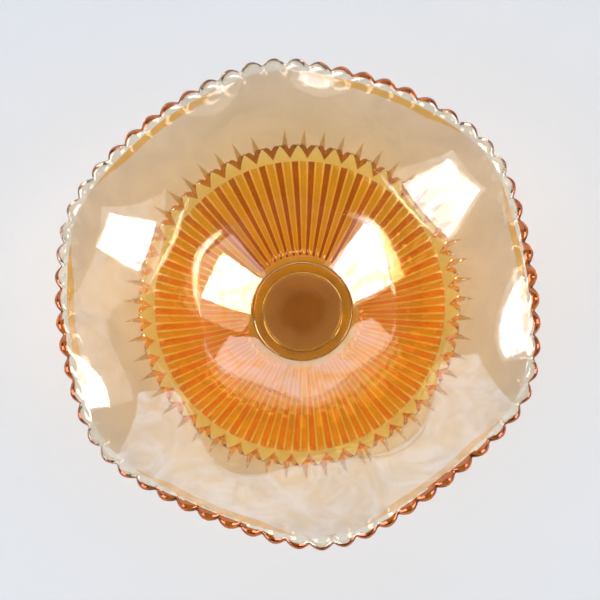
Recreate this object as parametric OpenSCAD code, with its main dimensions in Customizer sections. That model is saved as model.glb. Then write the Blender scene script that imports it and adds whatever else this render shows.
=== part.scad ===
// Pressed-glass bowl, drawn in millimetres.
// The collar foot stands on z = 0 and the axis of the bowl is the Z axis.
//
// The inside of the wall is four runs: a flat floor, a short heel bend, a deep
// bend that steepens to the shoulder, and a flare that eases out to the lip.
// Six ruffles bend the flare up and down. The pressed pattern stands on the
// outside: ribs that end in points, and a ring of thorns above them.

/* [Foot and floor] */
// Outer radius of the collar foot
foot_r = 23.4; // [22.8:0.1:24]
// Inner radius of the collar foot
foot_bore_r = 19; // [17:0.5:20]
// Height of the collar foot
foot_h = 4.5; // [3.5:0.5:6]
// Radius of the flat floor inside the bowl
floor_r = 22.6; // [22:0.1:23]
// Thickness of the glass under the floor
floor_t = 4.5; // [4:0.5:6]

/* [Wall] */
// Thickness of the plain wall, square to its surface
wall_t = 4; // [3.5:0.1:4.5]
// Slope of the wall just above the floor, in degrees
heel_slope = 24; // [20:1:28]
// Radius of the inside where the wall is steepest
shoulder_r = 62; // [60:1:64]
// Steepest slope of the wall, in degrees
shoulder_slope = 50; // [46:1:52]
// Radius of the inside at the lip, before it is ruffled
lip_r = 103.2; // [102:0.2:105]
// Slope of the wall at the lip, before it is ruffled, in degrees
lip_slope = 24; // [20:1:28]

/* [Ruffles] */
// Number of ruffles round the rim
ruffle_count = 6; // [4:2:8]
// Direction of the first crest, in degrees from +X towards +Y
ruffle_turn = 38; // [0:1:60]
// Inside radius where the ruffles begin
ruffle_r = 84; // [83:0.5:85]
// How far a crest dips below the mean height of the lip
ruffle_drop = 4.2; // [0:0.1:4.5]
// How far a crest swings out beyond the mean radius of the lip
ruffle_swing = 2.9; // [0:0.1:3]

/* [Scalloped rim] */
// Number of beads round the edge, which must be even
bead_count = 64; // [48:2:72]
// Inside radius where the rim band meets the flared wall
band_r = 99.5; // [97:0.5:100]
// How far a bead stands out from the rim band
bead_h = 3; // [2:0.1:3.5]

/* [Pressed pattern] */
// Number of ribs, points and thorns, which must be even
rib_count = 54; // [48:2:60]
// Direction of the first rib, in degrees from +X towards +Y
rib_turn = 3.6; // [0:0.2:6]
// Height of the ridge of a rib at its outer end
rib_h = 1.5; // [1:0.1:1.8]
// Height of the flanks of a rib at its outer end
flank_h = 0.5; // [0.3:0.1:0.8]
// Inside radius behind the outer ends of the ribs
rib_end_r = 65.2; // [63:0.2:66]
// Inside radius behind the nose of the pointed ends
point_end_r = 71.6; // [71:0.2:74]
// Inside radius behind the sharp ends of the thorns
thorn_end_r = 79.8; // [78:0.1:82.6]
// Height of a thorn at its root
thorn_h = 0.7; // [0.4:0.1:1]
// Width of a thorn at its root
thorn_w = 2.6; // [2:0.2:3.6]

/* [Hidden] */

floor_z = foot_h + floor_t;
disc_r = foot_bore_r + 2;
heel_r = floor_r + 2;

glass_amber = [0.86, 0.47, 0.12];
glass_orange = [0.90, 0.52, 0.14];
glass_honey = [0.88, 0.66, 0.36];
glass_champagne = [0.87, 0.76, 0.60];
glass_rust = [0.72, 0.32, 0.08];

// ---- The inside profile -------------------------------------------------

// Each bend is an arc: [start radius, end radius, start slope, end slope]
heel_bend = [floor_r, heel_r, 0, heel_slope];
deep_bend = [heel_r, shoulder_r, heel_slope, shoulder_slope];
flare_bend = [shoulder_r, lip_r, shoulder_slope, lip_slope];

// Signed radius of the arc: negative where the slope eases
function bend_radius(b) = (b[1] - b[0]) / (sin(b[3]) - sin(b[2]));
function bend_slope(b, r) = asin(sin(b[2]) + (r - b[0]) / bend_radius(b));
function bend_rise(b, r) = bend_radius(b) * (cos(b[2]) - cos(bend_slope(b, r)));

heel_z = floor_z + bend_rise(heel_bend, heel_r);
shoulder_z = heel_z + bend_rise(deep_bend, shoulder_r);

// Slope and height of the inside at radius r, before the ruffles
function inside_slope(r) =
    r < heel_r ? bend_slope(heel_bend, r)
    : r < shoulder_r ? bend_slope(deep_bend, r)
    : bend_slope(flare_bend, r);
function inside_z(r) =
    r < heel_r ? floor_z + bend_rise(heel_bend, r)
    : r < shoulder_r ? heel_z + bend_rise(deep_bend, r)
    : shoulder_z + bend_rise(flare_bend, r);

// Point [radius, height] at depth d below the inside surface, behind radius r
function below(r, d) =
    let (a = inside_slope(r)) [r + d * sin(a), inside_z(r) - d * cos(a)];

// The well wall ends in a level cut, at the height of the outside surface
// where the ruffles begin
cut_z = below(ruffle_r, wall_t)[1];
cut_cos = cos(shoulder_slope) + (shoulder_z - cut_z) / bend_radius(flare_bend);
cut_r = shoulder_r + bend_radius(flare_bend) * (sin(acos(cut_cos)) - sin(shoulder_slope));

// ---- The ruffled lip ----------------------------------------------------

// How far along the ruffled run radius r lies, from 0 to 1 at the lip
function ruffle_run(r) = max(0, (r - ruffle_r) / (lip_r - ruffle_r));
function crest(turn) = cos(ruffle_count * (turn - ruffle_turn));

// Slope of the ruffled wall at inside radius r and azimuth turn
function ruffled_slope(r, turn) =
    let (gain = 2 * ruffle_run(r) * crest(turn) / (lip_r - ruffle_r))
    atan2(tan(inside_slope(r)) - ruffle_drop * gain, 1 + ruffle_swing * gain);

// Point [radius, height] at depth d below the ruffled surface, moved by run
// along it
function ruffled(r, turn, d, run = 0) =
    let (a = ruffled_slope(r, turn), q = crest(turn) * pow(ruffle_run(r), 2))
    [r + ruffle_swing * q + d * sin(a) + run * cos(a),
     inside_z(r) - ruffle_drop * q - d * cos(a) + run * sin(a)];

// ---- Helpers for meshes -------------------------------------------------

// Turn a [radius, height] point to azimuth turn
function spin(p, turn) = [p[0] * cos(turn), p[0] * sin(turn), p[1]];

// Closed ring of equal sections, one section for each azimuth
module ring_of_sections(sections) {
    count = len(sections);
    size = len(sections[0]);
    points = [for (section = sections) each section];
    faces = [for (i = [0:count - 1], j = [0:size - 1])
        let (k = (i + 1) % count, m = (j + 1) % size)
        each [[i * size + j, i * size + m, k * size + m],
              [i * size + j, k * size + m, k * size + j]]];
    polyhedron(points, faces);
}

// Closed bar of equal sections, with flat fans over its two ends
module bar_of_sections(sections) {
    count = len(sections);
    size = len(sections[0]);
    points = [for (section = sections) each section];
    sides = [for (i = [0:count - 2], j = [0:size - 1])
        let (k = i + 1, m = (j + 1) % size)
        each [[i * size + j, i * size + m, k * size + m],
              [i * size + j, k * size + m, k * size + j]]];
    first = [for (j = [1:size - 2]) [0, j + 1, j]];
    last_at = (count - 1) * size;
    last = [for (j = [1:size - 2]) [last_at, last_at + j, last_at + j + 1]];
    polyhedron(points, concat(sides, first, last));
}

// ---- Foot, floor and well ----------------------------------------------

rib_rows = 5;
// Inside radii behind the rows of a rib, from the foot to its outer end
rib_start_r = heel_r + 1;
rib_radii = [for (i = [0:rib_rows]) rib_start_r + (rib_end_r - rib_start_r) * i / rib_rows];
// Inside radii behind the pointed end: where it narrows, and where its flanks
// first reach the wall
point_root_r = rib_end_r + 0.9;
point_notch_r = rib_end_r + 4.4;
point_radii = [rib_end_r, point_root_r, point_notch_r, point_end_r];
outside_radii = concat(rib_radii, [point_root_r, point_notch_r, point_end_r, thorn_end_r, ruffle_r]);

module foot_ring() {
    edge = 0.8;
    color(glass_amber)
        rotate_extrude($fn = 96)
            polygon([[foot_bore_r, edge], [foot_bore_r + edge, 0], [foot_r - edge, 0],
                     [foot_r, edge], [foot_r, foot_h], [foot_bore_r - 0.5, foot_h]]);
}

module base_disc() {
    color(glass_amber)
        translate([0, 0, foot_h])
            cylinder(h = floor_t, r = disc_r, $fn = 96);
}

// The heel and the well meet behind the third row of the ribs, in a cut square
// to the wall
split_row = 2;
split_r = outside_radii[split_row];

// Inside surface between two radii, as [radius, height] points
function inside_run(from_r, to_r, steps) =
    [for (i = [0:steps]) let (r = from_r + (to_r - from_r) * i / steps) [r, inside_z(r)]];

module heel_wall() {
    outside = [for (i = [split_row:-1:0]) below(outside_radii[i], wall_t)];
    color(glass_amber)
        rotate_extrude($fn = 144)
            polygon(concat([[disc_r, foot_h], [disc_r, floor_z], [floor_r, floor_z]],
                           inside_run(heel_r, split_r, 4), outside, [[foot_r, foot_h]]));
}

module well_wall() {
    outside = [for (i = [len(outside_radii) - 1:-1:split_row]) below(outside_radii[i], wall_t)];
    color(glass_honey)
        rotate_extrude($fn = 144)
            polygon(concat(inside_run(split_r, cut_r, 9), outside));
}

// ---- Pressed pattern on the outside of the well ------------------------

rib_pitch = 360 / rib_count;
rib_half = rib_pitch / 2 - 0.04;

// Outside point behind radius r, raised by h
function raised(r, h) = below(r, wall_t + h);

// One rib: two sloping facets that meet in a ridge
module rib() {
    bar_of_sections([for (r = rib_radii)
        let (scale_up = r / rib_end_r,
             base = below(r, wall_t),
             flank = raised(r, flank_h * scale_up),
             ridge = raised(r, rib_h * scale_up))
        [spin(base, rib_half), spin(base, 0), spin(base, -rib_half),
         spin(flank, -rib_half), spin(ridge, 0), spin(flank, rib_half)]]);
}

module prism_ribs() {
    color(glass_orange)
        for (i = [0:rib_count - 1])
            rotate([0, 0, rib_turn + i * rib_pitch]) rib();
}

// One pointed end: a flat top that narrows to a nose between sloping flanks
module rib_point() {
    // Share of the full half width that the top and the base keep at each row
    top_share = [1, 1, 0.38, 0.04];
    base_share = [1, 1, 1, 0.5];
    bar_of_sections([for (i = [0:3])
        let (base = below(point_radii[i], wall_t),
             top = raised(point_radii[i], rib_h),
             wide = rib_half * base_share[i],
             narrow = rib_half * top_share[i])
        [spin(base, wide), spin(base, 0), spin(base, -wide), spin(top, -narrow), spin(top, narrow)]]);
}

module rib_points() {
    color(glass_honey)
        for (i = [0:rib_count - 1])
            rotate([0, 0, rib_turn + i * rib_pitch]) rib_point();
}

// The thorns were cut in two halves of the mould that don't quite line up
// with the ribs: each half has its own share of a pitch of offset
seam_a = 103;
seam_b = -66;
offset_a = 0.73;
offset_b = 0.22;

// How far the sharp end of a thorn leans away from the nearest point
thorn_lean = 0.09;

// One thorn: a low three-sided spike that lies on the wall and leans to one hand
module thorn(hand) {
    root_r = point_end_r + 0.8;
    root = below(root_r, wall_t);
    // The rest of the wall there is straight, so the spike's base is too
    foot_a = below(point_end_r, wall_t);
    tip = below(thorn_end_r, wall_t);
    share = (root[0] - foot_a[0]) / (tip[0] - foot_a[0]);
    base = foot_a + (tip - foot_a) * share;
    half = asin(thorn_w / 2 / base[0]);
    slope = atan2(tip[1] - foot_a[1], tip[0] - foot_a[0]);
    peak = base + thorn_h * [sin(slope), -cos(slope)];
    lean = hand * thorn_lean * rib_pitch;
    polyhedron([spin(base, half), spin(base, -half), spin(peak, 0), spin(tip, lean)],
               [[0, 1, 2], [0, 3, 1], [1, 3, 2], [2, 3, 0]]);
}

module thorn_ring() {
    color(glass_rust)
        for (i = [0:rib_count - 1]) {
            turn = rib_turn + i * rib_pitch;
            right = turn < seam_a || turn > 360 + seam_b;
            rotate([0, 0, turn + rib_pitch * (right ? offset_a : offset_b)]) thorn(right ? -1 : 1);
        }
}

// ---- Flared wall and rim -------------------------------------------------

module flared_wall() {
    columns = 2 * bead_count;
    inside_rows = 4;
    outside_rows = 3;
    color(glass_champagne)
        ring_of_sections([for (i = [0:columns - 1])
            let (turn = i * 360 / columns)
            concat(
                [for (j = [0:inside_rows])
                    spin(ruffled(cut_r + (band_r - cut_r) * j / inside_rows, turn, 0), turn)],
                [for (j = [outside_rows:-1:0])
                    spin(ruffled(ruffle_r + (band_r - ruffle_r) * j / outside_rows, turn, wall_t), turn)])]);
}

// The rounded lip is a half circle of the wall's thickness
lip_turns = [0, 40, 80, 120, 180];
function lip_point(turn, a) =
    ruffled(lip_r, turn, wall_t / 2 * (1 - cos(a)), wall_t / 2 * sin(a));

module rim_band() {
    columns = 2 * bead_count;
    color(glass_champagne)
        ring_of_sections([for (i = [0:columns - 1])
            let (turn = i * 360 / columns)
            concat(
                [spin(ruffled(band_r, turn, 0), turn)],
                [for (a = lip_turns) spin(lip_point(turn, a), turn)],
                [spin(ruffled(band_r, turn, wall_t), turn)])]);
}

// Point on the rim band under a bead: v counts along the lip and down the
// outside, and u runs from 0 to 1 across the bead
function band_row(turn, v) =
    v < len(lip_turns) ? spin(lip_point(turn, lip_turns[v]), turn) : spin(ruffled(band_r, turn, wall_t), turn);
function band_point(first, u, v) =
    let (half = 180 / bead_count,
         side = u < 0.5 ? 0 : 1,
         near = band_row(first + side * half, v),
         far = band_row(first + (side + 1) * half, v))
    near + (far - near) * (2 * u - side);

// One bead: a lobe that bulges from the edge, over the lip and down the side
module bead(first) {
    us = [0.015, 0.2, 0.5, 0.8, 0.985];
    rows = [1, 2, 3, 4];
    swell = [0.15, 0.85, 1, 0.2];
    middle = first + 180 / bead_count;
    out = [cos(middle), sin(middle), 0];
    low = [for (j = [0:3], u = us) band_point(first, u, rows[j])];
    high = [for (j = [0:3], u = us)
        band_point(first, u, rows[j])
        + out * bead_h * (0.12 + 0.88 * sqrt(1 - pow(2 * u - 1, 2))) * swell[j]];
    wide = len(us);
    deep = len(rows);
    half = wide * deep;
    skin = [for (j = [0:deep - 2], i = [0:wide - 2])
        let (a = j * wide + i)
        each [[a, a + 1, a + wide + 1], [a, a + wide + 1, a + wide]]];
    faces = concat(
        [for (f = skin) [half + f[0], half + f[1], half + f[2]]],
        [for (f = skin) [f[2], f[1], f[0]]],
        [for (i = [0:wide - 2]) each
            [[i, i + 1, half + i + 1], [i, half + i + 1, half + i]]],
        [for (i = [0:wide - 2], b = [(deep - 1) * wide + i]) each
            [[b + 1, b, half + b], [b + 1, half + b, half + b + 1]]],
        [for (j = [0:deep - 2], b = [j * wide]) each
            [[b + wide, b, half + b], [b + wide, half + b, half + b + wide]]],
        [for (j = [0:deep - 2], b = [j * wide + wide - 1]) each
            [[b, b + wide, half + b + wide], [b, half + b + wide, half + b]]]);
    polyhedron(concat(low, high), faces);
}

module rim_beads() {
    color(glass_rust)
        for (i = [0:bead_count - 1]) bead((i - 0.5) * 360 / bead_count);
}

foot_ring();
base_disc();
heel_wall();
well_wall();
prism_ribs();
rib_points();
thorn_ring();
flared_wall();
rim_band();
rim_beads();
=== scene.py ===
"""Pressed-glass bowl with an iridescent amber lustre, on a pale studio floor.

The bowl is one skin of glass: it is swept round the axis, row by row, from the
middle of the inside, over the beaded lip, and down the outside to the foot.
Lengths are in millimetres until the mesh is made, and then in metres.
"""
import math

import bpy
import numpy as np
from mathutils import Matrix, Vector


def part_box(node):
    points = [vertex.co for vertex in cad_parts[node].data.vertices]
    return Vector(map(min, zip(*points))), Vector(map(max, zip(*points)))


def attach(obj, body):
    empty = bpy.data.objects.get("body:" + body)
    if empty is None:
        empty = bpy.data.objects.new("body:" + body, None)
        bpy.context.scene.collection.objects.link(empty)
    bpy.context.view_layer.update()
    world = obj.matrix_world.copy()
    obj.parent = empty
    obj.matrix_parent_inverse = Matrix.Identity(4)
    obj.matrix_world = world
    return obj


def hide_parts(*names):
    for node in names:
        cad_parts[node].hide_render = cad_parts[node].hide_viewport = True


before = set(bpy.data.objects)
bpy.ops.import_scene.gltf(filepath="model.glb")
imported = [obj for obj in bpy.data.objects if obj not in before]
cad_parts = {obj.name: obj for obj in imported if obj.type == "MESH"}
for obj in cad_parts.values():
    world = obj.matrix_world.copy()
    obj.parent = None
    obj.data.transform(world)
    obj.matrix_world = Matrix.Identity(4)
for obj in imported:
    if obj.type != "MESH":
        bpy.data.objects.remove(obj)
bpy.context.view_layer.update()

MM = 0.001

# ---- Driving dimensions, in millimetres and degrees --------------------------

FOOT_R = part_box("foot_ring")[1].x / MM
FOOT_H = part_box("foot_ring")[1].z / MM
FLOOR_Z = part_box("base_disc")[1].z / MM
FOOT_BORE_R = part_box("base_disc")[1].x / MM - 2
FLOOR_R, HEEL_R, SHOULDER_R, LIP_R = 22.6, 24.6, 62.0, 103.2
HEEL_SLOPE, SHOULDER_SLOPE, LIP_SLOPE = 24, 50, 24
WALL_T = 4.0

RUFFLES = 6
RUFFLE_TURN = 38  # azimuth of the middle of a dip in the rim
RUFFLE_R = 60.0
# How far a ruffle bends the lip down and out, and how late it does so
RUFFLE_DROP, RUFFLE_SWING, RUFFLE_POWER = 3.4, 2.8, 1.7

BEADS = 64
BEAD_H = 2.9
BEAD_SINK = 0.8  # how far a bead swells up and down, as a share of how far out
BEAD_BACK = 0.55  # what is left of that swelling where the lip meets the outside
TAIL_H, TAIL_RUN = 0.352, 6  # a bead's tail down the outside: share of the bead, length

RIBS = 54
RIB_TURN = 3.6
RIB_H, FLANK_H, POINT_H = 1.5, 0.3, 0.9
RIB_START_R, RIB_FULL_R, RIB_END_R = 25.6, 28.5, 65.2
POINT_ROOT_R, POINT_END_R = 66.1, 71.7
HEART_NOTCH_R, HEART_LOBE_R = 69.8, 72.0
LOBE_AT = 0.28  # from a heart's middle to the top of its lobe, in rib pitches
LINE = 1 / 16  # half width of the flat on a ridge and in a valley, in rib pitches
THORN_ROOT_R, THORN_END_R = 71.0, 77.8
THORN_SUNK = 1  # length of a thorn that lies within the points
THORN_H = 0.7
# A thorn's tip, the lean of its root and half its root's width, in rib pitches
THORN_TIP, THORN_LEAN, THORN_HALF = 0.36, 0.1, 0.17
SEAM_A, SEAM_B = 103, 294  # azimuths where the two halves of the mould meet

AMBER_R, CLEAR_R = 99.3, 102.3  # lustre pools between them, and clear glass follows

COLUMNS_PER_RIB = 16
COLUMNS = COLUMNS_PER_RIB * RIBS

# ---- Profile ------------------------------------------------------------------


def bend(r0, r1, slope0, slope1):
    """An arc of the inside profile: where it starts, its slope there in radians,
    and its signed radius."""
    turn = math.sin(math.radians(slope1)) - math.sin(math.radians(slope0))
    return r0, math.radians(slope0), (r1 - r0) / turn


HEEL = bend(FLOOR_R, HEEL_R, 0, HEEL_SLOPE)
DEEP = bend(HEEL_R, SHOULDER_R, HEEL_SLOPE, SHOULDER_SLOPE)
FLARE = bend(SHOULDER_R, LIP_R, SHOULDER_SLOPE, LIP_SLOPE)


def on_bend(arc, r):
    """Slope of an arc at radius r, and its rise from where it starts."""
    r0, slope0, radius = arc
    slope = math.asin(math.sin(slope0) + (r - r0) / radius)
    return slope, radius * (math.cos(slope0) - math.cos(slope))


HEEL_Z = FLOOR_Z + on_bend(HEEL, HEEL_R)[1]
SHOULDER_Z = HEEL_Z + on_bend(DEEP, SHOULDER_R)[1]


def inside(r):
    """Slope and height of the inside at radius r, before the ruffles."""
    if r <= FLOOR_R:
        return 0.0, FLOOR_Z
    if r <= HEEL_R:
        slope, rise = on_bend(HEEL, r)
        return slope, FLOOR_Z + rise
    if r <= SHOULDER_R:
        slope, rise = on_bend(DEEP, r)
        return slope, HEEL_Z + rise
    slope, rise = on_bend(FLARE, r)
    return slope, SHOULDER_Z + rise


turns = np.radians(RIB_TURN + np.arange(COLUMNS) * 360 / COLUMNS)


def wave(count, crest_at):
    """Cosine round the bowl with a crest at the given azimuth."""
    return np.cos(count * (turns - math.radians(crest_at)))


crest = wave(RUFFLES, RUFFLE_TURN)
# Hand ruffling leaves the rim a little out of true
uneven = 0.29 * wave(2, 8) + 0.19 * wave(3, 54) + 0.12 * wave(5, -14) + 0.15 * wave(12, 7)
swung, dropped = crest + uneven, crest + 0.3 * uneven


def ruffled(r, depth, run=0.0):
    """Radius and height, column by column, at a depth below the inside surface
    behind radius r, moved by run along the surface."""
    slope, z = inside(r)
    q = max(0.0, (r - RUFFLE_R) / (LIP_R - RUFFLE_R))
    share = q ** RUFFLE_POWER
    gain = RUFFLE_POWER * q ** (RUFFLE_POWER - 1) / (LIP_R - RUFFLE_R)
    rise = math.tan(slope) - RUFFLE_DROP * gain * dropped
    tilt = np.arctan2(rise, 1 + RUFFLE_SWING * gain * swung)
    radius = r + RUFFLE_SWING * share * swung + depth * np.sin(tilt) + run * np.cos(tilt)
    height = z - RUFFLE_DROP * share * dropped - depth * np.cos(tilt) + run * np.sin(tilt)
    return radius, height


# ---- Pressed pattern ----------------------------------------------------------


def ramp(x, low, high):
    """From 0 at low to 1 at high."""
    return np.clip((x - low) / (high - low), 0, 1)


def soft_ramp(x, low, high):
    """A ramp with soft ends."""
    t = ramp(x, low, high)
    return t * t * (3 - 2 * t)


pitch_share = (np.degrees(turns) - RIB_TURN) * RIBS / 360
from_ridge = np.abs(pitch_share - np.round(pitch_share))


def thorn_cover(share, left):
    """How far inside a thorn each place is, from 0 at its edge to 1 at its middle.
    share is in rib pitches from the first rib; left is 1 at a root, 0 at a tip."""
    first = np.arange(RIBS)
    azimuth = RIB_TURN + first * 360 / RIBS
    # The two halves of the mould don't quite line up, and mirror each other
    hand = np.where((azimuth < SEAM_A) | (azimuth > SEAM_B), -1, 1)
    middle = first + hand * (THORN_TIP - THORN_LEAN * left)
    gap = (np.asarray(share)[:, None] - middle[None, :] + RIBS / 2) % RIBS - RIBS / 2
    return np.clip(1 - np.abs(gap).min(axis=1) / (THORN_HALF * left + 1e-4), 0, 1)


def thorn_left(r):
    """How much of a thorn's length lies beyond radius r, from 1 at its root."""
    return min(1.0, max(0.0, (THORN_END_R - r) / (THORN_END_R - THORN_ROOT_R)))


def top_edge(x):
    """Radius behind which a point's flat top ends, x rib pitches off its middle."""
    return POINT_END_R - (POINT_END_R - POINT_ROOT_R) * x / 0.5


def heart_edge(x):
    """Radius behind which a point's flanks reach the wall."""
    lobe = np.sin(np.clip((0.5 - x) / LOBE_AT, 0, 2) * math.pi / 2) ** 0.7
    rounded = HEART_NOTCH_R + (HEART_LOBE_R - HEART_NOTCH_R) * lobe
    return np.maximum(rounded, top_edge(x) + 0.3)


def pattern_height(r):
    """Height of the pressed pattern above the plain outside wall, behind r."""
    if r <= RIB_START_R or r >= THORN_END_R:
        return np.zeros(COLUMNS)
    size = min(1.0, r / RIB_END_R)
    ridge = ramp(0.5 - from_ridge, LINE, 0.5 - LINE)
    rib = size * (FLANK_H + (RIB_H - FLANK_H) * ridge) * float(soft_ramp(r, RIB_START_R, RIB_FULL_R))
    flat = float(soft_ramp(r, RIB_END_R - 2.5, RIB_END_R + 0.4))
    height = rib + (POINT_H - rib) * flat
    if r > POINT_ROOT_R:
        edge = heart_edge(from_ridge)
        height = POINT_H * np.clip((edge - r) / (edge - top_edge(from_ridge)), 0, 1)
    if r > THORN_ROOT_R - THORN_SUNK:
        left = thorn_left(r)
        spike = THORN_H * left ** 0.6 * thorn_cover(pitch_share, left)
        height = np.maximum(height, spike)
    return height


# ---- Beaded lip ---------------------------------------------------------------

bead_share = np.degrees(turns) * BEADS / 360
from_bead = 2 * np.abs(bead_share - np.round(bead_share))
bead = BEAD_H * np.abs(np.cos(from_bead * math.pi / 2)) ** 0.85


def lip_row(angle):
    """Row over the half-round lip: angle runs from 0 inside to 180 outside."""
    a = math.radians(angle)
    back = 1 - (1 - BEAD_BACK) * float(ramp(angle, 100, 180))
    swell = bead * float(soft_ramp(angle, 0, 75)) * back
    radius = WALL_T / 2
    depth = radius * (1 - math.cos(a)) - BEAD_SINK * swell * math.cos(a)
    run = (radius + swell) * math.sin(a)
    return ruffled(LIP_R, depth, run)


def outside_row(r):
    """Row of the outside behind radius r, with pattern and the tails of beads."""
    fade = TAIL_H * (1 - float(soft_ramp(LIP_R - r, 0, TAIL_RUN)))
    return ruffled(r, WALL_T + pattern_height(r) + fade * bead)


# ---- The skin of glass ----------------------------------------------------------

# Radii, and angles on the lip, of the rows from the inside out and down
LIP_ANGLES = [15, 30, 40, 50, 60, 70, 80, 90, 100, 110, 120, 135, 150, 165]
INSIDE_ROWS = [4, 12, 20, 22.6, 23.1, 23.6, 24.1, 24.6, 26, 28, 32, 36, 40, 45, 50,
               54, 58, 62, 66, 70, 74, 78, 82, 85, 88, 91, 94, 96.5, 99, 101, 102.3, 103.2]
POINT_ROWS = [78.4, 77.8, 77.0, 76.2, 75.4, 74.6, 73.9, 73.3, 72.8] + [
    72.4 - 0.37 * i for i in range(17)] + [66.1]
OUTSIDE_ROWS = ([103.2, 102.3, 101.5, 100.7, 100, 99.3, 98, 95.5, 93, 90, 87, 84, 82] + POINT_ROWS
                + [65.6, 64.7, 63.6, 62.6, 57, 52, 47, 42, 37, 33, 30, 28.5, 27, 25.6])


def ring(r, z):
    """Row of a plain circle."""
    return np.full(COLUMNS, float(r)), np.full(COLUMNS, float(z))


def foot_profile():
    """Outline of the foot, from its outer shoulder to under the floor."""
    edge = 0.9
    outer = [(FOOT_R + 2.1, FOOT_H + 0.55), (FOOT_R + 0.9, FOOT_H + 0.1),
             (FOOT_R + 0.25, FOOT_H - 0.4), (FOOT_R, FOOT_H - 1.2),
             (FOOT_R, edge), (FOOT_R - 0.25, 0.3), (FOOT_R - edge, 0)]
    inner = [(FOOT_BORE_R + edge, 0), (FOOT_BORE_R + 0.25, 0.3), (FOOT_BORE_R, edge),
             (FOOT_BORE_R - 0.3, FOOT_H - 1), (FOOT_BORE_R - 0.8, FOOT_H - 0.25),
             (FOOT_BORE_R - 1.8, FOOT_H), (10, FOOT_H + 0.1), (4, FOOT_H + 0.15)]
    return outer + inner


def skin_rows():
    """All rows of the skin in order: points, radius behind the row, and band."""
    rows = [(ruffled(r, 0), r, "inside") for r in INSIDE_ROWS]
    rows += [(lip_row(angle), angle, "lip") for angle in LIP_ANGLES]
    rows += [(outside_row(r), r, "outside") for r in OUTSIDE_ROWS]
    rows += [(ring(r, z), r, "outside") for r, z in foot_profile()]
    return rows


# Zones of lustre, in the order of the material slots
ZONES = ["inside", "clear", "rust", "amber", "outside", "pale", "deep", "lit_facet", "heart", "thorn"]
RUST_FROM, RUST_TO = 54, 112  # lip angles between which rusty lustre lies
RUST_SIDE = 300  # azimuth where it covers most
SHADE_FACING = 135  # azimuth that the facets painted in shade turn toward


def facing(share, azimuth, count=1):
    """Cosine of the angle between each place and an azimuth, count times over."""
    return np.cos(count * (np.radians(RIB_TURN + share * 360 / RIBS) - math.radians(azimuth)))


def lip_zones(angle, share):
    """Zone of each face of the lip. Rusty lustre covers its outer face, most of
    it where the rim rises and on one side of the bowl."""
    start = RUST_FROM - 14 * facing(share, RUST_SIDE) + 16 * facing(share, RUFFLE_TURN, RUFFLES)
    end = RUST_TO + 18 * facing(share, RUST_SIDE - 5)
    return np.where((angle > start) & (angle < end), ZONES.index("rust"), ZONES.index("clear"))


def facet_zones(zone, share):
    """Marks the facets of the ribs with painted light and shade: the facets that
    turn toward one side are painted darker, as in shade, and the others lighter, as if lit."""
    ridge = np.round(share)
    from_middle = np.abs(share - ridge)
    ridge_turn = np.radians(RIB_TURN + ridge * 360 / RIBS)
    in_painted_shade = np.sign(share - ridge) * np.sin(math.radians(SHADE_FACING) - ridge_turn) > 0
    on_facet = (from_middle > LINE) & (from_middle < 0.5 - LINE)
    # Painted shade on the facets turned toward that side, painted light on the rest
    zone[on_facet & in_painted_shade] = ZONES.index("deep")
    zone[on_facet & ~in_painted_shade] = ZONES.index("lit_facet")


def pattern_zones(r, share):
    """Zone of each face of the outside. share is in rib pitches, as above."""
    zone = np.full(share.shape, ZONES.index("outside"))
    if r > CLEAR_R:
        zone[:] = ZONES.index("clear")
    elif r > AMBER_R:
        # Lustre pools under the lip, most where the rim rises
        dip = facing(share, RUFFLE_TURN, RUFFLES)
        zone[r > CLEAR_R - (CLEAR_R - AMBER_R) * (0.75 - dip)] = ZONES.index("amber")
    elif r > POINT_ROOT_R:
        from_middle = np.abs(share - np.round(share))
        if THORN_ROOT_R - THORN_SUNK < r < THORN_END_R:
            zone[thorn_cover(share, thorn_left(r)) > 0] = ZONES.index("thorn")
        zone[r < heart_edge(from_middle) - 0.1] = ZONES.index("heart")
        zone[r < top_edge(from_middle)] = ZONES.index("pale")
    elif r > RIB_START_R:
        zone[:] = ZONES.index("pale")
        if r < RIB_END_R - 0.5:
            facet_zones(zone, share)
    return zone


def row_points(rows):
    """All corners in metres: the rows' in order, then the two at the axis."""
    radii = np.array([row[0][0] for row in rows])
    heights = np.array([row[0][1] for row in rows])
    points = np.stack([radii * np.cos(turns), radii * np.sin(turns), heights], axis=-1)
    ends = np.array([[0, 0, heights[0].mean()], [0, 0, heights[-1].mean()]])
    return np.vstack([points.reshape(-1, 3), ends]) * MM


# The diagonals of the faces mirror each other about the middle of a rib
column = np.arange(COLUMNS)
rising = (column % COLUMNS_PER_RIB) < COLUMNS_PER_RIB / 2


def strip_faces(i):
    """The two triangles per column between row i and the next."""
    beyond = (column + 1) % COLUMNS
    a, b = i * COLUMNS + column, i * COLUMNS + beyond
    c, d = b + COLUMNS, a + COLUMNS
    up = rising[:, None]
    first = np.where(up, np.stack([a, c, b], 1), np.stack([a, d, b], 1))
    second = np.where(up, np.stack([a, d, c], 1), np.stack([b, d, c], 1))
    return [first, second]


def strip_zones(row, following):
    """Zones of the faces of a strip, each from a place near its middle."""
    _, r0, _ = row
    _, r1, band = following
    zones = []
    for is_first in (True, False):
        near = (r0 * 2 + r1) / 3 if is_first else (r0 + r1 * 2) / 3
        share = (column + np.where(rising == is_first, 2 / 3, 1 / 3)) / COLUMNS_PER_RIB
        if band == "inside":
            zones.append(np.full(COLUMNS, ZONES.index(band)))
        elif band == "lip":
            zones.append(lip_zones(r1 - 5, share))
        else:
            zones.append(pattern_zones(near, share))
    return zones


def end_faces(rows):
    """The triangles round the axis, inside and underneath, and their zones."""
    beyond = (column + 1) % COLUMNS
    count = len(rows)
    last = (count - 1) * COLUMNS
    faces = [np.stack([np.full(COLUMNS, count * COLUMNS), column, beyond], 1),
             np.stack([np.full(COLUMNS, count * COLUMNS + 1), last + beyond, last + column], 1)]
    return faces, [np.full(COLUMNS, ZONES.index(zone)) for zone in ("inside", "outside")]


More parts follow.
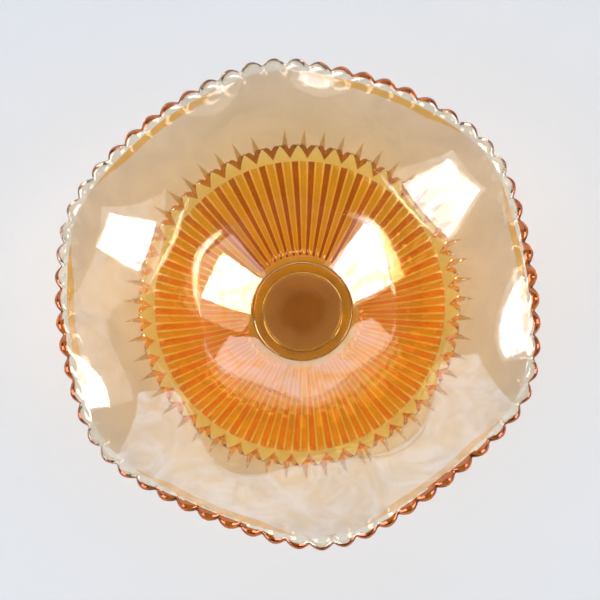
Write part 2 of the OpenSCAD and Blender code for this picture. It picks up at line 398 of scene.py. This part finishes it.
def make_skin(name, rows):
    """Sweeps the rows into one closed mesh, with a material slot for each zone."""
    points = row_points(rows)
    faces, zones = [], []
    for i in range(len(rows) - 1):
        faces += strip_faces(i)
        zones += strip_zones(rows[i], rows[i + 1])
    more_faces, more_zones = end_faces(rows)
    faces = np.vstack(faces + more_faces)
    zones = np.concatenate(zones + more_zones)
    mesh = bpy.data.meshes.new(name)
    mesh.vertices.add(len(points))
    mesh.vertices.foreach_set("co", points.ravel())
    mesh.loops.add(faces.size)
    mesh.loops.foreach_set("vertex_index", faces.ravel().astype(np.int32))
    mesh.polygons.add(len(faces))
    mesh.polygons.foreach_set("loop_start", np.arange(0, faces.size, 3, dtype=np.int32))
    mesh.update(calc_edges=True)
    mesh.polygons.foreach_set("material_index", zones.astype(np.int32))
    mesh.polygons.foreach_set("use_smooth", np.ones(len(faces), dtype=bool))
    mesh.validate()
    mesh.set_sharp_from_angle(angle=math.radians(15))
    mesh.update()
    piece = bpy.data.objects.new(name, mesh)
    bpy.context.collection.objects.link(piece)
    return piece


# ---- Materials ------------------------------------------------------------------


class Shader:
    """A node tree in the making."""

    def __init__(self, name):
        self.material = bpy.data.materials.new(name)
        self.material.use_nodes = True
        self.tree = self.material.node_tree
        self.tree.nodes.clear()
        self.output = self.add("ShaderNodeOutputMaterial")

    def add(self, kind, **settings):
        node = self.tree.nodes.new(kind)
        for key, value in settings.items():
            setattr(node, key, value)
        return node

    def link(self, source, target):
        self.tree.links.new(source, target)

    def position(self):
        return self.add("ShaderNodeTexCoord").outputs["Object"]

    def axis_distance(self):
        """Distance from the bowl's axis, in metres."""
        flat = self.add("ShaderNodeVectorMath", operation="MULTIPLY")
        flat.inputs[1].default_value = (1, 1, 0)
        self.link(self.position(), flat.inputs[0])
        length = self.add("ShaderNodeVectorMath", operation="LENGTH")
        self.link(flat.outputs[0], length.inputs[0])
        return length.outputs["Value"]

    def toward_y(self):
        """How far toward +Y each place lies as seen from the foot, from -1 to 1."""
        unit = self.add("ShaderNodeVectorMath", operation="NORMALIZE")
        self.link(self.position(), unit.inputs[0])
        parts = self.add("ShaderNodeSeparateXYZ")
        self.link(unit.outputs[0], parts.inputs[0])
        return parts.outputs["Y"]

    def noise(self, scale, detail=3.0, roughness=0.5, distortion=0.0):
        node = self.add("ShaderNodeTexNoise")
        node.inputs["Scale"].default_value = scale
        node.inputs["Detail"].default_value = detail
        node.inputs["Roughness"].default_value = roughness
        node.inputs["Distortion"].default_value = distortion
        self.link(self.position(), node.inputs["Vector"])
        return node.outputs["Fac"]

    def scaled(self, value, low, high, to_low, to_high):
        node = self.add("ShaderNodeMapRange")
        for key, number in zip(("From Min", "From Max", "To Min", "To Max"), (low, high, to_low, to_high)):
            node.inputs[key].default_value = number
        self.link(value, node.inputs["Value"])
        return node.outputs["Result"]

    def colours(self, value, stops):
        """Colour ramp over value, from (place, colour) stops."""
        node = self.add("ShaderNodeValToRGB")
        band = node.color_ramp
        while len(band.elements) > 1:
            band.elements.remove(band.elements[-1])
        for i, (place, colour) in enumerate(stops):
            stop = band.elements[0] if i == 0 else band.elements.new(place)
            stop.position = place
            stop.color = (*colour, 1)
        self.link(value, node.inputs["Fac"])
        return node.outputs["Color"]

    def grey(self, value):
        """Colour with the value in all three channels."""
        node = self.add("ShaderNodeCombineColor")
        for channel in node.inputs:
            self.link(value, channel)
        return node.outputs[0]

    def blend(self, factor, first, second, mode="MIX"):
        node = self.add("ShaderNodeMix", data_type="RGBA", blend_type=mode)
        for socket, value in ((node.inputs[0], factor), (node.inputs[6], first), (node.inputs[7], second)):
            if isinstance(value, bpy.types.NodeSocket):
                self.link(value, socket)
            elif isinstance(value, tuple):
                socket.default_value = (*value, 1)
            else:
                socket.default_value = value
        return node.outputs[2]


SPAN = 0.115  # metres from the axis that the colour ramps cover
GLASS_IOR, FILM_IOR = 1.52, 1.9
FLARE_FROM, FLARE_TO = 0.585, 0.615  # shares of SPAN where the film changes
LAMP_TINT = (0.97, 0.95, 0.92, 1)


def lustre_colour(s, radius, stops, painted_light_toward_y):
    """Colour by radius, a little uneven, and multiplied toward +Y by painted light and shade, where that
    is given.
    """
    astray = s.add("ShaderNodeMath", operation="ADD")
    s.link(radius, astray.inputs[0])
    waver = s.noise(scale=70, detail=4, roughness=0.6, distortion=0.6)
    s.link(s.scaled(waver, 0.3, 0.7, -0.02, 0.02), astray.inputs[1])
    colour = s.colours(astray.outputs[0], stops)
    patches = s.noise(scale=45, detail=4, roughness=0.6, distortion=0.8)
    patches = s.grey(s.scaled(patches, 0.35, 0.65, 0.86, 1.0))
    colour = s.blend(1.0, colour, patches, "MULTIPLY")
    # Painted light and shade: the colour is darkened or lightened toward +Y
    if painted_light_toward_y:
        side = s.scaled(s.toward_y(), 0.1, 0.85, 0, 1)
        colour = s.blend(1.0, colour, s.blend(side, (1, 1, 1), painted_light_toward_y), "MULTIPLY")
    return colour


def film_thickness(s, radius, well, flare):
    """Uneven thickness of the film, from its ranges in the well and in the flare."""
    swirl = s.noise(scale=40, detail=5, roughness=0.6, distortion=2.2)
    nanometres = s.add("ShaderNodeMix", data_type="FLOAT")
    s.link(s.scaled(radius, FLARE_FROM, FLARE_TO, 0, 1), nanometres.inputs[0])
    s.link(s.scaled(swirl, 0.3, 0.7, *well), nanometres.inputs[2])
    s.link(s.scaled(swirl, 0.3, 0.7, *flare), nanometres.inputs[3])
    # The film thins out toward +Y
    thinned = s.add("ShaderNodeMath", operation="MULTIPLY")
    s.link(nanometres.outputs[0], thinned.inputs[0])
    s.link(s.scaled(s.toward_y(), 0.6, 0.78, 1, 0.1), thinned.inputs[1])
    return thinned.outputs[0]


def pressed_ripples(s):
    """Normal of a surface that isn't quite smooth."""
    bump = s.add("ShaderNodeBump")
    bump.inputs["Strength"].default_value = 1.0
    bump.inputs["Distance"].default_value = 0.00004
    s.link(s.noise(scale=120, detail=5, roughness=0.6, distortion=0.5), bump.inputs["Height"])
    return bump.outputs[0]


def let_lamps_through(s, glass):
    """Lamps shine through as through thin tinted glass, so the floor isn't black."""
    clear = s.add("ShaderNodeBsdfTransparent")
    clear.inputs["Color"].default_value = LAMP_TINT
    lamp = s.add("ShaderNodeLightPath")
    mix = s.add("ShaderNodeMixShader")
    s.link(lamp.outputs["Is Shadow Ray"], mix.inputs[0])
    s.link(glass.outputs[0], mix.inputs[1])
    s.link(clear.outputs[0], mix.inputs[2])
    s.link(mix.outputs[0], s.output.inputs["Surface"])


def lustre_glass(name, stops, film=None, metal=0.0, painted_light_toward_y=None):
    """Glass under a lustre film. stops colour it by radius; film is the film's
    range of thickness in the well and in the flare, in nanometres; metal is how
    metallic it is; the last argument multiplies the colour on the side toward +Y,
    as painted light and shade there."""
    s = Shader(name)
    glass = s.add("ShaderNodeBsdfPrincipled")
    radius = s.scaled(s.axis_distance(), 0, SPAN, 0, 1)
    s.link(lustre_colour(s, radius, stops, painted_light_toward_y), glass.inputs["Base Color"])
    glass.inputs["Metallic"].default_value = metal
    glass.inputs["Roughness"].default_value = 0.03
    glass.inputs["IOR"].default_value = GLASS_IOR
    glass.inputs["Transmission Weight"].default_value = 1.0
    if film:
        s.link(film_thickness(s, radius, *film), glass.inputs["Thin Film Thickness"])
        glass.inputs["Thin Film IOR"].default_value = FILM_IOR
    s.link(pressed_ripples(s), glass.inputs["Normal"])
    let_lamps_through(s, glass)
    return s.material


def pale_paper(name, colour):
    s = Shader(name)
    paper = s.add("ShaderNodeBsdfPrincipled")
    tone = s.grey(s.scaled(s.noise(scale=3, detail=2), 0.3, 0.7, 0.985, 1.0))
    s.link(s.blend(1.0, colour, tone, "MULTIPLY"), paper.inputs["Base Color"])
    paper.inputs["Roughness"].default_value = 0.9
    s.link(paper.outputs[0], s.output.inputs["Surface"])
    return s.material


# ---- Camera, floor and lights, in metres ------------------------------------------

CAMERA_AT = Vector((0.038, -0.083, 1.0))
CAMERA_AIM = Vector((0.00134, -0.00017, 0.069))
CAMERA_LENS = 126.3
FLOOR_LEVEL = -0.0001  # just clear of the glass on it
FLOOR_HALF = 3.0
LAMP_AIM = Vector((0, 0, 0.04))
DAYLIGHT = (0.80, 0.98, 1.2)


def add_camera():
    """Camera nearly overhead, with +Y upward in the picture."""
    data = bpy.data.cameras.new("camera")
    data.lens = CAMERA_LENS
    camera = bpy.data.objects.new("camera", data)
    bpy.context.collection.objects.link(camera)
    camera.location = CAMERA_AT
    ahead = (CAMERA_AIM - CAMERA_AT).normalized()
    right = ahead.cross(Vector((0, 1, 0))).normalized()
    camera.rotation_euler = Matrix((right, right.cross(ahead), -ahead)).transposed().to_euler()
    bpy.context.scene.camera = camera


def add_floor():
    corners = [(-1, -1), (1, -1), (1, 1), (-1, 1)]
    mesh = bpy.data.meshes.new("floor")
    mesh.from_pydata([(x * FLOOR_HALF, y * FLOOR_HALF, FLOOR_LEVEL) for x, y in corners],
                     [], [(0, 1, 2, 3)])
    floor = bpy.data.objects.new("floor", mesh)
    bpy.context.collection.objects.link(floor)
    mesh.materials.append(pale_paper("pale_paper", (0.402, 0.405, 0.416)))


def add_softbox(name, azimuth, elevation, distance, size, radiance, roll=0, colour=(1, 1, 1)):
    """Area light that faces the bowl, with the given width and height, radiance
    and roll about its own middle."""
    width, height = size
    data = bpy.data.lights.new(name, "AREA")
    data.shape = "RECTANGLE"
    data.size = width
    data.size_y = height
    data.energy = radiance * math.pi * width * height
    data.color = colour
    lamp = bpy.data.objects.new(name, data)
    bpy.context.collection.objects.link(lamp)
    lamp.visible_camera = False
    a, e = math.radians(azimuth), math.radians(elevation)
    place = Vector((math.cos(a) * math.cos(e), math.sin(a) * math.cos(e), math.sin(e))) * distance
    back = (place - LAMP_AIM).normalized()
    level = Vector((0, 0, 1)).cross(back).normalized()
    upright = Matrix((level, back.cross(level), back)).transposed()
    rolled = upright @ Matrix.Rotation(math.radians(roll), 3, "Z")
    lamp.matrix_world = Matrix.Translation(place) @ rolled.to_4x4()


def add_world(horizon, overhead):
    """Soft light from all round, brighter near the horizon than overhead."""
    world = bpy.data.worlds.new("studio")
    world.use_nodes = True
    tree = world.node_tree
    direction = tree.nodes.new("ShaderNodeTexCoord")
    parts = tree.nodes.new("ShaderNodeSeparateXYZ")
    band = tree.nodes.new("ShaderNodeMapRange")
    for key, number in zip(("From Min", "From Max", "To Min", "To Max"), (0.25, 0.7, horizon, overhead)):
        band.inputs[key].default_value = number
    tree.links.new(direction.outputs["Generated"], parts.inputs[0])
    tree.links.new(parts.outputs["Z"], band.inputs["Value"])
    tree.links.new(band.outputs["Result"], tree.nodes["Background"].inputs["Strength"])
    tree.nodes["Background"].inputs["Color"].default_value = (1.0, 0.99, 0.98, 1)
    bpy.context.scene.world = world


add_camera()
add_floor()
add_softbox("softbox_right", -14, 39, 2.2, (1.18, 1.30), 10.0, -10)
add_softbox("softbox_left", 208, 34, 2.2, (1.45, 1.52), 8.2, 6)
add_softbox("haze_right", -13, 35, 2.3, (2.2, 1.85), 1.1, -24)
add_softbox("haze_left", 210, 34, 2.3, (1.85, 1.95), 1.3, 8)
add_softbox("back_wall", 97, 36, 2.4, (7.5, 2.3), 1.8, 0, DAYLIGHT)
add_softbox("back_wall_foot", 128, 4.3, 2.4, (1.9, 0.36), 1.8, 0, DAYLIGHT)
add_world(0.28, 0.05)

# ---- The bowl ----------------------------------------------------------------------


def even(colour):
    """The same colour at every radius."""
    return [(0, colour), (1, colour)]


# Where a look has a colour that multiplies it toward +Y, that is painted light and shade: painted shade on
# the inside, on the darker facets and on the hearts on that side, and painted light on the lighter facets
LOOKS = {
    "inside": dict(
        stops=[(0, (0.80, 0.60, 0.34)), (0.2, (0.85, 0.66, 0.38)), (0.6, (0.92, 0.76, 0.50)),
               (0.72, (0.90, 0.78, 0.60)), (1, (0.91, 0.80, 0.65))],
        film=((70, 114), (14, 34)), painted_light_toward_y=(0.93, 0.90, 0.88)),
    "clear": dict(stops=even((0.92, 0.84, 0.68))),
    "rust": dict(stops=even((0.40, 0.045, 0.0008)), metal=0.3),
    "amber": dict(stops=even((0.91, 0.33, 0.03))),
    # The foot's disc and ring, and then the plain wall beyond the pattern
    "outside": dict(
        stops=[(0, (0.27, 0.045, 0.0008)), (0.07, (0.27, 0.045, 0.0008)), (0.12, (0.38, 0.10, 0.008)),
               (0.165, (0.38, 0.10, 0.008)), (0.18, (0.55, 0.15, 0.001)), (0.225, (0.72, 0.20, 0.003)),
               (0.24, (0.85, 0.3, 0.03)), (0.60, (0.90, 0.52, 0.18)), (0.69, (0.88, 0.55, 0.22)),
               (0.8, (0.88, 0.58, 0.29)), (0.92, (0.88, 0.61, 0.37))]),
    # Ridges, valleys and the flat tops of the points, painted lighter than the facets beside them: painted
    # light
    "pale": dict(
        stops=[(0, (0.98, 0.26, 0.003)), (0.545, (0.98, 0.30, 0.004)), (0.575, (0.97, 0.45, 0.02)),
               (0.625, (0.95, 0.53, 0.05))]),
    # The rib facets: one lustre in a darker copy, painted shade, and a lighter copy, painted light
    "deep": dict(stops=even((0.97, 0.065, 0.0003)), metal=0.04, painted_light_toward_y=(0.28, 0.22, 0.25)),
    "lit_facet": dict(stops=even((0.90, 0.135, 0.0004)), metal=0.04, painted_light_toward_y=(0.88, 1.4, 1.5)),
    # Hearts, with painted shade toward +Y
    "heart": dict(stops=even((0.97, 0.17, 0.0005)), painted_light_toward_y=(0.18, 0.1, 0.1)),
    "thorn": dict(stops=even((0.45, 0.17, 0.02))),
}

bowl = make_skin("bowl_glass", skin_rows())
for zone in ZONES:
    bowl.data.materials.append(lustre_glass(zone + "_glass", **LOOKS[zone]))
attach(bowl, "root")
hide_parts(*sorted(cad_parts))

scene = bpy.context.scene
scene.view_settings.view_transform = "Standard"
scene.cycles.max_bounces = 24
scene.cycles.transmission_bounces = 24
scene.cycles.glossy_bounces = 12
scene.cycles.transparent_max_bounces = 24
